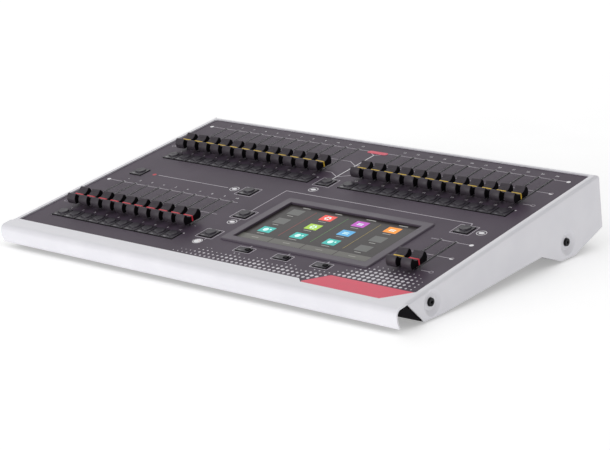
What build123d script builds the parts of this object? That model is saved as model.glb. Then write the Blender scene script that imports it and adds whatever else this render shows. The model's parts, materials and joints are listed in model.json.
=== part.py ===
from build123d import *
import math
import os

# Lighting control desk: a wedge-shaped sheet-metal case with sliding faders, flash keys
# and a touch screen on its sloping top.
#
# Row frame: +X to the operator's right, +Y to the rear, +Z up, millimetres.
# The origin is the middle of the footprint, on the surface that the rubber feet stand on.
#
# Panel frame: x is the row's X, s runs up the slope from the middle of the desk's depth,
# and h is the height above the printed panel, square to it.

os.makedirs("parts", exist_ok=True)

# ---------------------------------------------------------------- driving dimensions

TILT = 8.7                      # slope of the panel, degrees
CASE_W = 475.0                  # overall width
CASE_D = 318.0                  # overall depth
FOOT_DROP = 2.5                 # how far the rubber feet hold the case off the table
PANEL_Z = 45.5                  # printed panel above the table at s = 0

SHEET = 1.5                     # steel of the top cover
PAN_SHEET = 1.2                 # steel of the base pan
OVERLAY_T = 0.5                 # printed polycarbonate overlay
RIM_TOP = 1.2                   # h of the silver rim that the overlay is sunk into
RUN_GAP = 0.4                   # clearance round everything that moves through the cover

FADER_PITCH = 16.0
FADER_TRAVEL = 60.0
UPPER_COUNT = 12                # faders and flash keys in each upper bank
PLAYBACK_COUNT = 10
LEFT_X0 = -202.0                # first fader of the left banks
RIGHT_X0 = 26.0                 # first fader of the upper right bank
MASTER_X0 = 184.9
UPPER_S = 70.6                  # the 0 % line of the upper banks
PLAYBACK_S = -86.4              # the 0 % line of the playback bank
MASTER_S = -85.0

SCREEN_X = 77.2                 # middle of the display
SCREEN_S = -50.3

# ---------------------------------------------------------------- planes

panel = Plane(
    origin=(0, 0, PANEL_Z),
    x_dir=(1, 0, 0),
    z_dir=(0, -math.sin(math.radians(TILT)), math.cos(math.radians(TILT))),
)
UP_SLOPE = panel.y_dir
COVER_TOP = -OVERLAY_T          # h of the sunken floor that the overlay lies on
COVER_UNDER = COVER_TOP - SHEET


def on_panel(x, s, h=0.0):
    """The move that carries a piece modelled at the panel's origin to x, s, h."""
    return Location(panel.from_local_coords(Vector(x, s, h)) - panel.origin)


def top_line(y, h):
    """Height of the plane h above the panel, at depth y."""
    return PANEL_Z + y * math.tan(math.radians(TILT)) + h / math.cos(math.radians(TILT))


def save(shape, name):
    shape.label = name
    export_step(shape, f"parts/{name}.step")


# ---------------------------------------------------------------- case outline (Y, Z)

FRONT_Y = -CASE_D / 2
SIDE_FRONT_Y = -145.2           # where the side's front edge meets the top
FOOT_FRONT = (-121.1, FOOT_DROP)
FOOT_FRONT_END = (-95.9, FOOT_DROP)
ARCH_TOP = (55.9, FOOT_DROP + 11.9)
FOOT_REAR = (88.3, FOOT_DROP)
FOOT_REAR_END = (112.0, FOOT_DROP)
REAR_LOW = (CASE_D / 2, FOOT_DROP + 16.1)
REAR_TOP_Y = 152.0
REAR_TOP = (REAR_TOP_Y, top_line(REAR_TOP_Y, RIM_TOP))

UNDERSIDE = [FOOT_FRONT, FOOT_FRONT_END, ARCH_TOP, FOOT_REAR, FOOT_REAR_END, REAR_LOW]

NOSE_R = 6.0                    # rolled front of the cover, outside radius
LIP_R = 21.3                    # the lip that curls back below it
LIP_ANGLE = 35.0
REAR_LIP = 8.0                  # rear edge of the cover, folded down over the rear panel
REAR_R = 3.5                    # outside radius of that fold
EDGE_R = 3.0                    # outside radius of the folds along the sides of the top

rear_lean = math.atan2(REAR_LOW[0] - REAR_TOP[0], REAR_TOP[1] - REAR_LOW[1])
rear_plane = Plane(
    origin=(0, (REAR_LOW[0] + REAR_TOP[0]) / 2, (REAR_LOW[1] + REAR_TOP[1]) / 2),
    x_dir=(-1, 0, 0),
    z_dir=(0, math.cos(rear_lean), math.sin(rear_lean)),
)

SIDE_SCREWS = [(-109.7, FOOT_DROP + 13.9), (99.7, FOOT_DROP + 15.1)]
DIMPLE_R = 12.0
DIMPLE_FLOOR_R = 7.5
DIMPLE_DEPTH = 2.5

PAN_HALF = CASE_W / 2 - SHEET - DIMPLE_DEPTH - 0.2

# ---------------------------------------------------------------- places of the controls

upper_left = [(LEFT_X0 + i * FADER_PITCH, UPPER_S) for i in range(UPPER_COUNT)]
upper_right = [(RIGHT_X0 + i * FADER_PITCH, UPPER_S) for i in range(UPPER_COUNT)]
playbacks = [(LEFT_X0 + i * FADER_PITCH, PLAYBACK_S) for i in range(PLAYBACK_COUNT)]
masters = [(MASTER_X0 + i * FADER_PITCH, MASTER_S) for i in range(2)]
all_faders = upper_left + upper_right + playbacks + masters

SLOT_W = 2.0                    # in the overlay
COVER_SLOT_W = 5.0              # in the steel below it
COVER_KEY_MARGIN = 1.0          # how much wider the steel's key holes are, on each side
LEVER_W = 1.2
LEVER_L = 3.0
SLOT_BELOW = 2.3                # the slot runs this far past the travel's lower end
SLOT_ABOVE = 2.3

KEY_W = 15.4
KEY_L = 15.2
SOFT_KEY_L = 7.8
KEY_TRAVEL = 1.0
UPPER_KEY_S = 47.3
PLAYBACK_KEY_S = -111.6

left_keys = [(x, UPPER_KEY_S) for x, _ in upper_left]
right_keys = [(x, UPPER_KEY_S) for x, _ in upper_right]
playback_key_places = [(x, PLAYBACK_KEY_S) for x, _ in playbacks]
function_places = [
    (-204.0, -0.2),
    (-58.7, -0.8),
    (-24.2, -47.3),
    (0.0, 46.4),
    (192.5, 1.2),
    (-24.6, -95.2),
]
SOFT_KEY_S = -112.2
SOFT_KEY_PITCH = 44.4
soft_places = [(31.5 + i * SOFT_KEY_PITCH, SOFT_KEY_S) for i in range(3)]

WINDOW_W = 156.0                # opening in the cover for the display
WINDOW_L = 89.0


def draw_openings(slot_w, key_gap):
    """Every slot, key hole and window that both the cover and the overlay have."""
    slot_length = FADER_TRAVEL + SLOT_BELOW + SLOT_ABOVE
    slot_middle = (FADER_TRAVEL + SLOT_ABOVE - SLOT_BELOW) / 2
    with Locations(*[(x, s + slot_middle) for x, s in all_faders]):
        Rectangle(slot_w, slot_length + slot_w - SLOT_W)
    for places in (left_keys, right_keys, playback_key_places):
        # one opening for the whole row
        (first, s), (last, _) = places[0], places[-1]
        with Locations(((first + last) / 2, s)):
            Rectangle(last - first + KEY_W + 2 * key_gap, KEY_L + 2 * key_gap)
    with Locations(*function_places):
        Rectangle(KEY_W + 2 * key_gap, KEY_L + 2 * key_gap)
    with Locations(*soft_places):
        Rectangle(KEY_W + 2 * key_gap, SOFT_KEY_L + 2 * key_gap)
    with Locations((SCREEN_X, SCREEN_S)):
        Rectangle(WINDOW_W, WINDOW_L)


# ---------------------------------------------------------------- outline of the overlay

OVERLAY_HALF = 231.0
OVERLAY_FRONT = -141.8
OVERLAY_BACK = 148.5
PLATE_FRONT = -147.1            # the overlay runs further forward at the name plate
PLATE_X0 = 120.0
PLATE_STEP_X = 125.4
PLATE_X1 = 209.5
PLATE_CORNER_S = -124.8
BACK_CORNER_R = 3.5
PLATE_CORNER_R = 9.0
RECESS_GAP = 0.2                # from the overlay's edge to the wall of the recess


def draw_outline():
    """Outline of the overlay, and of the recess in the cover that holds it."""
    outline = Polygon(
        (-OVERLAY_HALF, OVERLAY_FRONT),
        (PLATE_X0, OVERLAY_FRONT),
        (PLATE_STEP_X, PLATE_FRONT),
        (PLATE_X1, PLATE_FRONT),
        (OVERLAY_HALF, PLATE_CORNER_S),
        (OVERLAY_HALF, OVERLAY_BACK),
        (-OVERLAY_HALF, OVERLAY_BACK),
        align=None,
    )
    back = outline.vertices().group_by(Axis.Y)[-1]
    plate = outline.vertices().group_by(Axis.Y)[0].sort_by(Axis.X)[-1]
    fillet(back, BACK_CORNER_R)
    fillet(plate, PLATE_CORNER_R)


# ---------------------------------------------------------------- top cover

slope_back = (-math.cos(math.radians(TILT)), -math.sin(math.radians(TILT)))
nose_top_y = FRONT_Y + NOSE_R * (1 - math.sin(math.radians(TILT)))
nose_top = (nose_top_y, top_line(nose_top_y, RIM_TOP))
lip_down = (math.sin(rear_lean), -math.cos(rear_lean))
rear_lip_end = (REAR_TOP[0] + REAR_LIP * lip_down[0], REAR_TOP[1] + REAR_LIP * lip_down[1])

with BuildPart() as top_cover:
    # the rolled nose, the sloping top and the rear lip are one folded strip
    with BuildSketch(Plane.YZ.offset(-CASE_W / 2)):
        with BuildLine():
            FilletPolyline(rear_lip_end, REAR_TOP, nose_top, radius=REAR_R)
            nose = JernArc(nose_top, slope_back, NOSE_R, 90 - TILT)
            JernArc(nose @ 1, (0, -1), LIP_R, LIP_ANGLE)
            offset(amount=SHEET, side=Side.LEFT)
        make_face()
    extrude(amount=CASE_W)
    # the two sides
    for x in (-CASE_W / 2, CASE_W / 2 - SHEET):
        with BuildSketch(Plane.YZ.offset(x)):
            with BuildLine():
                Polyline(
                    (SIDE_FRONT_Y, top_line(SIDE_FRONT_Y, RIM_TOP)),
                    *UNDERSIDE,
                    REAR_TOP,
                    close=True,
                )
            side_face = make_face()
            fillet(side_face.vertices().sort_by_distance((x, *REAR_TOP))[0], REAR_R)
        extrude(amount=SHEET)
    # pressed dimples that the side screws sit in
    for side in (-1, 1):
        for y, z in SIDE_SCREWS:
            outer = Plane(origin=(side * CASE_W / 2, y, z), x_dir=(0, 1, 0), z_dir=(-side, 0, 0))
            with BuildSketch(outer.offset(SHEET)):
                Circle(DIMPLE_R)
            with BuildSketch(outer.offset(SHEET + DIMPLE_DEPTH)):
                Circle(DIMPLE_FLOOR_R + SHEET)
            loft()
            with BuildSketch(outer):
                Circle(DIMPLE_R)
            with BuildSketch(outer.offset(DIMPLE_DEPTH)):
                Circle(DIMPLE_FLOOR_R)
            loft(mode=Mode.SUBTRACT)
            with BuildSketch(outer):
                Circle(2.2)
            extrude(amount=SHEET + DIMPLE_DEPTH + 1, mode=Mode.SUBTRACT)
    # the pressed recess that the overlay lies in
    with BuildSketch(panel.offset(RIM_TOP)):
        draw_outline()
        offset(amount=RECESS_GAP + SHEET)
    extrude(amount=COVER_UNDER - RIM_TOP)
    with BuildSketch(panel.offset(RIM_TOP + 1)):
        draw_outline()
        offset(amount=RECESS_GAP)
    extrude(amount=COVER_TOP - RIM_TOP - 1, mode=Mode.SUBTRACT)
    # openings in the recess
    with BuildSketch(panel.offset(COVER_TOP + 1)):
        draw_openings(COVER_SLOT_W, RUN_GAP + COVER_KEY_MARGIN)
    extrude(amount=-(SHEET + 2), mode=Mode.SUBTRACT)
    # the round folds along the sides, from the sides' front edge to the back
    for side in (-1, 1):
        fold = Plane(
            origin=(side * CASE_W / 2, SIDE_FRONT_Y, top_line(SIDE_FRONT_Y, RIM_TOP)),
            x_dir=(-side, 0, 0),
            z_dir=UP_SLOPE,
        )
        down = 1 if fold.y_dir.Z < 0 else -1
        with BuildSketch(fold):
            with Locations((EDGE_R / 2 - 1, down * (EDGE_R / 2 - 1))):
                Rectangle(EDGE_R + 2, EDGE_R + 2)
            with Locations((EDGE_R, down * EDGE_R)):
                Circle(EDGE_R, mode=Mode.SUBTRACT)
        extrude(amount=CASE_D, mode=Mode.SUBTRACT)
save(top_cover.part, "top_cover")

# ---------------------------------------------------------------- base pan

PAN_FRONT = (-156.9, 16.7)      # front edge of the pan, tucked inside the rolled nose
PAN_REAR_INSET = SHEET + 0.1
PAN_TOP_H = COVER_UNDER - 0.2
CHEEK_T = 3.0                   # black cheeks that close the ends behind the nose
CHEEK_GAP = 0.5                 # from a cheek to the front edge of the cover's side
CHEEK_TOP_H = RIM_TOP - SHEET - 0.2
CHEEK_R = NOSE_R - SHEET - 0.2  # the cheek follows the inside of the rolled nose
cheek_nose_top = (
    nose_top[0] + (SHEET + 0.2) * math.sin(math.radians(TILT)),
    nose_top[1] - (SHEET + 0.2) * math.cos(math.radians(TILT)),
)
FLANGE_FRONT_Y = SIDE_FRONT_Y - 2

rear_in = (
    -PAN_REAR_INSET * math.cos(rear_lean),
    -PAN_REAR_INSET * math.sin(rear_lean),
)
pan_rear_low = (REAR_LOW[0] + rear_in[0], REAR_LOW[1] + rear_in[1])
# the rear panel rises along the case's rear line until it meets the underside of the top
rise = top_line(pan_rear_low[0], PAN_TOP_H) - pan_rear_low[1]
rise /= 1 + math.tan(rear_lean) * math.tan(math.radians(TILT))
pan_rear_top = (pan_rear_low[0] - rise * math.tan(rear_lean), pan_rear_low[1] + rise)

MODULE_W, MODULE_H = 48.0, 27.0         # mains inlet module
MODULE_X, MODULE_Y = -150.0, -2.0       # in the rear plane, whose x runs towards -X
DATA_XS = (-68.0, -30.0)                # five-pin data outlets
DATA_R = 11.9
DATA_Y = -2.0
PORT_XS = (20.0, 48.0, 70.0)            # network socket, then two USB sockets
PORT_Y = -6.0
NETWORK_W, NETWORK_H = 16.2, 13.6
USB_W, USB_H = 14.4, 7.0

with BuildPart() as base_pan:
    # front slope, floor and rear panel are one folded strip
    with BuildSketch(Plane.YZ.offset(-PAN_HALF)):
        with BuildLine():
            Polyline(PAN_FRONT, *UNDERSIDE[:-1], pan_rear_low, pan_rear_top)
            offset(amount=PAN_SHEET, side=Side.LEFT)
        make_face()
    extrude(amount=2 * PAN_HALF)
    # upright flanges inside the cover's sides
    for x in (-PAN_HALF, PAN_HALF - PAN_SHEET):
        with BuildSketch(Plane.YZ.offset(x)):
            with BuildLine():
                Polyline(
                    PAN_FRONT,
                    *UNDERSIDE[:-1],
                    pan_rear_low,
                    pan_rear_top,
                    (FLANGE_FRONT_Y, top_line(FLANGE_FRONT_Y, PAN_TOP_H)),
                    close=True,
                )
            make_face()
        extrude(amount=PAN_SHEET)
    # cheeks that show in the ends, ahead of the cover's sides
    for x in (-PAN_HALF - CHEEK_T, PAN_HALF):
        with BuildSketch(Plane.YZ.offset(x)):
            with BuildLine():
                cheek_curve = JernArc(cheek_nose_top, slope_back, CHEEK_R, 90 - TILT)
                Polyline(
                    cheek_curve @ 1,
                    PAN_FRONT,
                    (FOOT_FRONT[0] - CHEEK_GAP, FOOT_FRONT[1]),
                    (SIDE_FRONT_Y - CHEEK_GAP, top_line(SIDE_FRONT_Y, CHEEK_TOP_H)),
                    cheek_nose_top,
                )
            make_face()
        extrude(amount=CHEEK_T)
    # side screw holes
    with BuildSketch(Plane.YZ.offset(-PAN_HALF - 1)):
        with Locations(*SIDE_SCREWS):
            Circle(2.0)
    extrude(amount=2 * PAN_HALF + 2, mode=Mode.SUBTRACT)
    # connector openings in the rear panel
    with BuildSketch(rear_plane.offset(2)):
        with Locations((MODULE_X, MODULE_Y)):
            Rectangle(MODULE_W - 4, MODULE_H - 4)
        with Locations(*[(x, DATA_Y) for x in DATA_XS]):
            Circle(DATA_R)
        with Locations((PORT_XS[0], PORT_Y)):
            Rectangle(NETWORK_W + 0.6, NETWORK_H + 0.6)
        with Locations(*[(x, PORT_Y) for x in PORT_XS[1:]]):
            Rectangle(USB_W + 0.6, USB_H + 0.6)
    extrude(amount=-8, mode=Mode.SUBTRACT)
save(base_pan.part, "base_pan")

# ---------------------------------------------------------------- printed overlay

with BuildPart() as control_panel:
    with BuildSketch(panel):
        draw_outline()
    extrude(amount=-OVERLAY_T)
    with BuildSketch(panel.offset(1)):
        draw_openings(SLOT_W, RUN_GAP)
    extrude(amount=-(OVERLAY_T + 2), mode=Mode.SUBTRACT)
save(control_panel.part, "control_panel")

# red inlays: a blank name plate at the front and a blank badge at the back
INLAY_T = 0.25
INLAY_GAP = 0.3                 # from the name plate to the overlay's edge
INLAY_TOP_S = -124.5
INLAY_TOP_X0 = 141.0
INLAY_LEFT = (123.6, -144.0)    # where its slanted end meets the overlay's step
with BuildPart() as red_inlays:
    with BuildSketch(panel):
        with BuildLine():
            Polyline(
                INLAY_LEFT,
                (PLATE_STEP_X + INLAY_GAP, PLATE_FRONT + INLAY_GAP),
                (PLATE_X1 - INLAY_GAP / 2, PLATE_FRONT + INLAY_GAP),
                (OVERLAY_HALF - INLAY_GAP - 0.3, INLAY_TOP_S),
                (INLAY_TOP_X0, INLAY_TOP_S),
                close=True,
            )
        inlay = make_face()
        fillet(inlay.vertices().group_by(Axis.Y)[0].sort_by(Axis.X)[-1], PLATE_CORNER_R)
        with Locations((0.0, 129.0)):
            SlotOverall(24.0, 5.6)
    extrude(amount=INLAY_T)
save(red_inlays.part, "red_inlays")

# ---------------------------------------------------------------- display

BEZEL_W, BEZEL_L, BEZEL_H = 169.8, 102.3, 1.5
VIEW_W, VIEW_L = 151.6, 83.6    # the bezel's opening
VIEW_X = SCREEN_X + 0.2
SKIRT_END = -0.85               # the bezel's skirt reaches down to the glass
GLASS_TOP = -0.9
LCD_T = 6.0

with BuildPart() as screen_bezel:
    with BuildSketch(panel):
        with Locations((SCREEN_X, SCREEN_S)):
            RectangleRounded(BEZEL_W, BEZEL_L, 3.0)
    extrude(amount=BEZEL_H, taper=30)
    with BuildSketch(panel):
        with Locations((SCREEN_X, SCREEN_S)):
            Rectangle(WINDOW_W - 0.6, WINDOW_L - 0.6)
    extrude(amount=SKIRT_END)
    with BuildSketch(panel.offset(BEZEL_H)):
        with Locations((VIEW_X, SCREEN_S)):
            Rectangle(VIEW_W, VIEW_L)
    extrude(amount=SKIRT_END - BEZEL_H, mode=Mode.SUBTRACT)
save(screen_bezel.part, "screen_bezel")

with BuildPart() as touch_glass:
    with BuildSketch(panel.offset(GLASS_TOP)):
        with Locations((SCREEN_X, SCREEN_S)):
            Rectangle(WINDOW_W - 0.6, WINDOW_L - 0.6)
    extrude(amount=COVER_UNDER - GLASS_TOP)
save(touch_glass.part, "touch_glass")

with BuildPart() as display_module:
    with BuildSketch(panel.offset(COVER_UNDER)):
        with Locations((SCREEN_X, SCREEN_S)):
            Rectangle(WINDOW_W + 9, WINDOW_L + 9)
    extrude(amount=-LCD_T)
save(display_module.part, "display_module")

# ---------------------------------------------------------------- faders

CAP_W = 10.6
CAP_UNDER = 3.8                 # gap between the cap and the panel
CAP_TOP = 13.8
CAP_VALLEY = 9.8
TRACK_W, TRACK_L, TRACK_H = 9.0, 76.0, 8.0
TRACK_SLOT_W = 3.4

with BuildPart() as cap:
    with BuildSketch(Plane(origin=(-CAP_W / 2, 0, PANEL_Z), x_dir=UP_SLOPE, z_dir=(1, 0, 0))):
        with BuildLine():
            base = Line((-10.4, CAP_UNDER), (10.4, CAP_UNDER))
            rear = ThreePointArc(base @ 1, (12.1, 8.6), (9.9, 13.2))
            rear_hump = ThreePointArc(rear @ 1, (8.8, CAP_TOP), (7.4, 13.2))
            dish = ThreePointArc(rear_hump @ 1, (0, CAP_VALLEY), (-7.4, 13.2))
            front_hump = ThreePointArc(dish @ 1, (-8.8, CAP_TOP), (-9.9, 13.2))
            ThreePointArc(front_hump @ 1, (-12.1, 8.6), base @ 0)
        make_face()
    extrude(amount=CAP_W)
    with BuildSketch(panel.offset(CAP_UNDER)):
        Rectangle(LEVER_W, LEVER_L)
    extrude(amount=4.0, mode=Mode.SUBTRACT)

LEVER_TOP = CAP_UNDER + 4.0
LEVER_FOOT = -7.6
with BuildPart() as lever:
    with BuildSketch(panel.offset(LEVER_TOP)):
        Rectangle(LEVER_W, LEVER_L)
    extrude(amount=LEVER_FOOT - LEVER_TOP)
    with BuildSketch(panel.offset(LEVER_FOOT)):
        Rectangle(TRACK_SLOT_W - 0.8, 5.0)
    extrude(amount=2.0)

fader_names = (
    [f"channel_fader_{i + 1:02d}" for i in range(2 * UPPER_COUNT)]
    + [f"playback_fader_{i + 1:02d}" for i in range(PLAYBACK_COUNT)]
    + [f"master_fader_{i + 1}" for i in range(2)]
)
for name, (x, s) in zip(fader_names, all_faders):
    place = on_panel(x, s)
    save(Compound(children=[cap.part.moved(place), lever.part.moved(place)]), name)

with BuildPart() as fader_tracks:
    track_places = [(x, s + FADER_TRAVEL / 2) for x, s in all_faders]
    with BuildSketch(panel.offset(COVER_UNDER)):
        with Locations(*track_places):
            Rectangle(TRACK_W, TRACK_L)
    extrude(amount=-TRACK_H)
    with BuildSketch(panel.offset(COVER_UNDER)):
        with Locations(*track_places):
            Rectangle(TRACK_SLOT_W, TRACK_L - 8)
    extrude(amount=-(TRACK_H - 1.6), mode=Mode.SUBTRACT)
save(fader_tracks.part, "fader_tracks")

# ---------------------------------------------------------------- keys and their switches

KEY_LOW = -1.6                  # underside of a key's cap
KEY_FACE = 0.9                  # flat front part, which holds the indicator window
KEY_DISC = 2.1                  # raised finger pad
STEM_END = -4.6
BOARD_TOP = COVER_UNDER - TRACK_H
BOARD_T = 1.6
SWITCH_TOP = STEM_END - KEY_TRAVEL - 0.5
DISC_R = 5.6
DISC_S = 1.6                    # the round pad sits behind the key's middle
BLOCK_W, BLOCK_L = 4.6, 4.2     # the soft keys' pad
BLOCK_X, BLOCK_S = 4.4, 0.6


def key_row(places, length, pad):
    """Keys of one size, each with a round or block-shaped finger pad, as separate solids."""
    with BuildPart() as keys:
        with BuildSketch(panel.offset(KEY_LOW)):
            with Locations(*places):
                Rectangle(KEY_W, length)
        extrude(amount=KEY_FACE - KEY_LOW)
        with BuildSketch(panel.offset(KEY_FACE)):
            if pad == "round":
                with Locations(*[(x, s + DISC_S) for x, s in places]):
                    Circle(DISC_R)
            else:
                with Locations(*[(x + BLOCK_X, s + BLOCK_S) for x, s in places]):
                    Rectangle(BLOCK_W, BLOCK_L)
        extrude(amount=KEY_DISC - KEY_FACE, taper=24)
        with BuildSketch(panel.offset(STEM_END)):
            with Locations(*places):
                Circle(1.8)
        extrude(amount=KEY_LOW - STEM_END)
        with BuildSketch(panel.offset(KEY_FACE)):
            with Locations(*[(x - 3.2, s - length / 2 + 1.7) for x, s in places]):
                Rectangle(3.4, 1.4)
        extrude(amount=-0.5, mode=Mode.SUBTRACT)
    return keys.part


save(key_row(left_keys, KEY_L, "round"), "flash_keys_left")
save(key_row(right_keys, KEY_L, "round"), "flash_keys_right")
save(key_row(playback_key_places, KEY_L, "round"), "playback_keys")
save(key_row(function_places, KEY_L, "round"), "function_keys")
save(key_row(soft_places, SOFT_KEY_L, "block"), "soft_keys")

all_keys = left_keys + right_keys + playback_key_places + function_places + soft_places
with BuildPart() as key_switches:
    with BuildSketch(panel.offset(BOARD_TOP)):
        with Locations(*all_keys):
            Rectangle(6.2, 6.2)
    extrude(amount=2.4)
    with BuildSketch(panel.offset(BOARD_TOP + 2.4)):
        with Locations(*all_keys):
            Circle(1.7)
    extrude(amount=SWITCH_TOP - BOARD_TOP - 2.4)
save(key_switches.part, "key_switches")

# ---------------------------------------------------------------- circuit boards

with BuildPart() as upper_board:
    with BuildSketch(panel.offset(BOARD_TOP)):
        with Locations((0, 88.0)):
            Rectangle(430, 108)
    extrude(amount=-BOARD_T)
save(upper_board.part, "upper_board")

LOWER_BACK = 12.0
LOWER_FRONT = -121.0
with BuildPart() as lower_board:
    with BuildSketch(panel.offset(BOARD_TOP)):
        with Locations((0, (LOWER_BACK + LOWER_FRONT) / 2)):
            Rectangle(430, LOWER_BACK - LOWER_FRONT)
    extrude(amount=-BOARD_T)
save(lower_board.part, "lower_board")

PROCESSOR_Z = 22.0
with BuildPart() as processor_board:
    with BuildSketch(Plane.XY.offset(PROCESSOR_Z)):
        with Locations((-40, 112)):
            Rectangle(140, 64)
    extrude(amount=BOARD_T)
    with BuildSketch(Plane.XY.offset(PROCESSOR_Z + BOARD_T)):
        with Locations((-40, 104)):
            Rectangle(30, 30)
        with Locations((-85, 100), (5, 100)):
            Rectangle(16, 12)
    extrude(amount=2.0)
    with BuildSketch(Plane.XY.offset(FOOT_DROP + PAN_SHEET)):
        with Locations((-105, 92), (25, 92), (-105, 108), (25, 108)):
            Circle(3.0)
    extrude(amount=PROCESSOR_Z - FOOT_DROP - PAN_SHEET)
save(processor_board.part, "processor_board")

with BuildPart() as power_supply:
    with BuildSketch(Plane.XY.offset(21.0)):
        with Locations((150, 100)):
            RectangleRounded(116, 56, 2.0)
    extrude(amount=18.0)
    with BuildSketch(Plane.XY.offset(FOOT_DROP + PAN_SHEET)):
        with Locations((100, 92), (200, 92), (100, 108), (200, 108)):
            Circle(3.0)
    extrude(amount=21.0 - FOOT_DROP - PAN_SHEET)
save(power_supply.part, "power_supply")

# ---------------------------------------------------------------- rear connectors

PAN_OUTER = -PAN_REAR_INSET     # outer face of the rear panel, in the rear plane's own z
FLANGE_T = 1.5
SOCKET_X = MODULE_X + 9.0
ROCKER_X = MODULE_X - 14.5
ROCKER_HALF_L = 8.0
ROCKER_HALF_W = 5.2
ROCKER_SWING = 8.0
PIVOT_DEPTH = 6.0

with BuildPart() as mains_inlet:
    with BuildSketch(rear_plane.offset(PAN_OUTER)):
        with Locations((MODULE_X, MODULE_Y)):
            RectangleRounded(MODULE_W, MODULE_H, 2.0)
    extrude(amount=FLANGE_T)
    with BuildSketch(rear_plane.offset(PAN_OUTER)):
        with Locations((MODULE_X, MODULE_Y)):
            Rectangle(MODULE_W - 4.4, MODULE_H - 4.4)
    extrude(amount=-20)
    # the cavity that the mains lead's connector enters
    with BuildSketch(rear_plane.offset(PAN_OUTER + FLANGE_T)):
        with Locations((SOCKET_X, MODULE_Y)):
            Rectangle(24.4, 16.8)
    extrude(amount=-17, mode=Mode.SUBTRACT)
    # its three blades
    with BuildSketch(rear_plane.offset(PAN_OUTER + FLANGE_T - 17)):
        with Locations((SOCKET_X - 7, MODULE_Y - 2), (SOCKET_X + 7, MODULE_Y - 2)):
            Rectangle(2.0, 4.0)
        with Locations((SOCKET_X, MODULE_Y + 3)):
            Rectangle(2.0, 4.0)
    extrude(amount=14)
    # the well that the rocker sits in
    with BuildSketch(rear_plane.offset(PAN_OUTER + FLANGE_T)):
        with Locations((ROCKER_X, MODULE_Y)):
            Rectangle(2 * ROCKER_HALF_W + 1.0, 2 * ROCKER_HALF_L + 3.2)
    extrude(amount=-15, mode=Mode.SUBTRACT)
save(mains_inlet.part, "mains_inlet")

FACE = PAN_OUTER + FLANGE_T     # outer face of the inlet's flange
pivot = rear_plane.from_local_coords(Vector(ROCKER_X, MODULE_Y, FACE - PIVOT_DEPTH))
rest = math.radians(-ROCKER_SWING)
# the rocker's own plane: first axis up the rear panel, second axis outwards, tilted to "off"
up_axis = rear_plane.y_dir * math.cos(rest) + rear_plane.z_dir * math.sin(rest)
rocker_plane = Plane(
    origin=pivot - Vector(ROCKER_HALF_W, 0, 0), x_dir=up_axis, z_dir=(1, 0, 0)
)
out_sign = 1 if rocker_plane.y_dir.dot(rear_plane.z_dir) > 0 else -1
crown = PIVOT_DEPTH + 0.9
horn = crown + ROCKER_HALF_L * math.tan(math.radians(ROCKER_SWING))
with BuildPart() as power_rocker:
    with BuildSketch(rocker_plane):
        with BuildLine():
            Polyline(
                (-ROCKER_HALF_L, out_sign * horn),
                (0, out_sign * crown),
                (ROCKER_HALF_L, out_sign * horn),
                (ROCKER_HALF_L - 0.6, out_sign * (PIVOT_DEPTH - 2)),
                (3.0, -out_sign * 3.0),
                (-3.0, -out_sign * 3.0),
                (-ROCKER_HALF_L + 0.6, out_sign * (PIVOT_DEPTH - 2)),
                close=True,
            )
        make_face()
    extrude(amount=2 * ROCKER_HALF_W)
save(power_rocker.part, "power_rocker")
print("rocker pivot m:", [round(v / 1000, 5) for v in pivot])

OUTLET_FLANGE_T = 2.0
OUTLET_BODY_R = DATA_R - 0.3
OUTLET_RING_R = 9.7             # bore that the plug's shell enters
INSERT_R = 7.5
INSERT_END = -11.0              # where the insert widens into its base, in the rear plane
OUTLET_END = -18.0
outlet_centres = [(x, DATA_Y) for x in DATA_XS]
with BuildPart() as outlet_shells:
    with BuildSketch(rear_plane.offset(PAN_OUTER)):
        with Locations(*outlet_centres):
            RectangleRounded(26, 31, 2.5)
    extrude(amount=OUTLET_FLANGE_T)
    with BuildSketch(rear_plane.offset(PAN_OUTER)):
        with Locations(*outlet_centres):
            Circle(OUTLET_BODY_R)
    extrude(amount=OUTLET_END)
    with BuildSketch(rear_plane.offset(PAN_OUTER + OUTLET_FLANGE_T)):
        with Locations(*outlet_centres):
            Circle(OUTLET_RING_R)
    extrude(amount=OUTLET_END - OUTLET_FLANGE_T, mode=Mode.SUBTRACT)
with BuildPart() as outlet_inserts:
    with BuildSketch(rear_plane.offset(PAN_OUTER + INSERT_END)):
        with Locations(*outlet_centres):
            Circle(OUTLET_RING_R)
    extrude(amount=OUTLET_END - INSERT_END)
    with BuildSketch(rear_plane.offset(PAN_OUTER + INSERT_END)):
        with Locations(*outlet_centres):
            Circle(INSERT_R)
    extrude(amount=-INSERT_END)
    # five contacts
    with BuildSketch(rear_plane.offset(PAN_OUTER)):
        for cx, cy in outlet_centres:
            with Locations((cx, cy)):
                with PolarLocations(3.9, 5, start_angle=54, angular_range=288):
                    RegularPolygon(1.1, 6)
    extrude(amount=-8, mode=Mode.SUBTRACT)
save(
    Compound(children=[*outlet_shells.part.solids(), *outlet_inserts.part.solids()]),
    "data_outlets",
)

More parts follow.
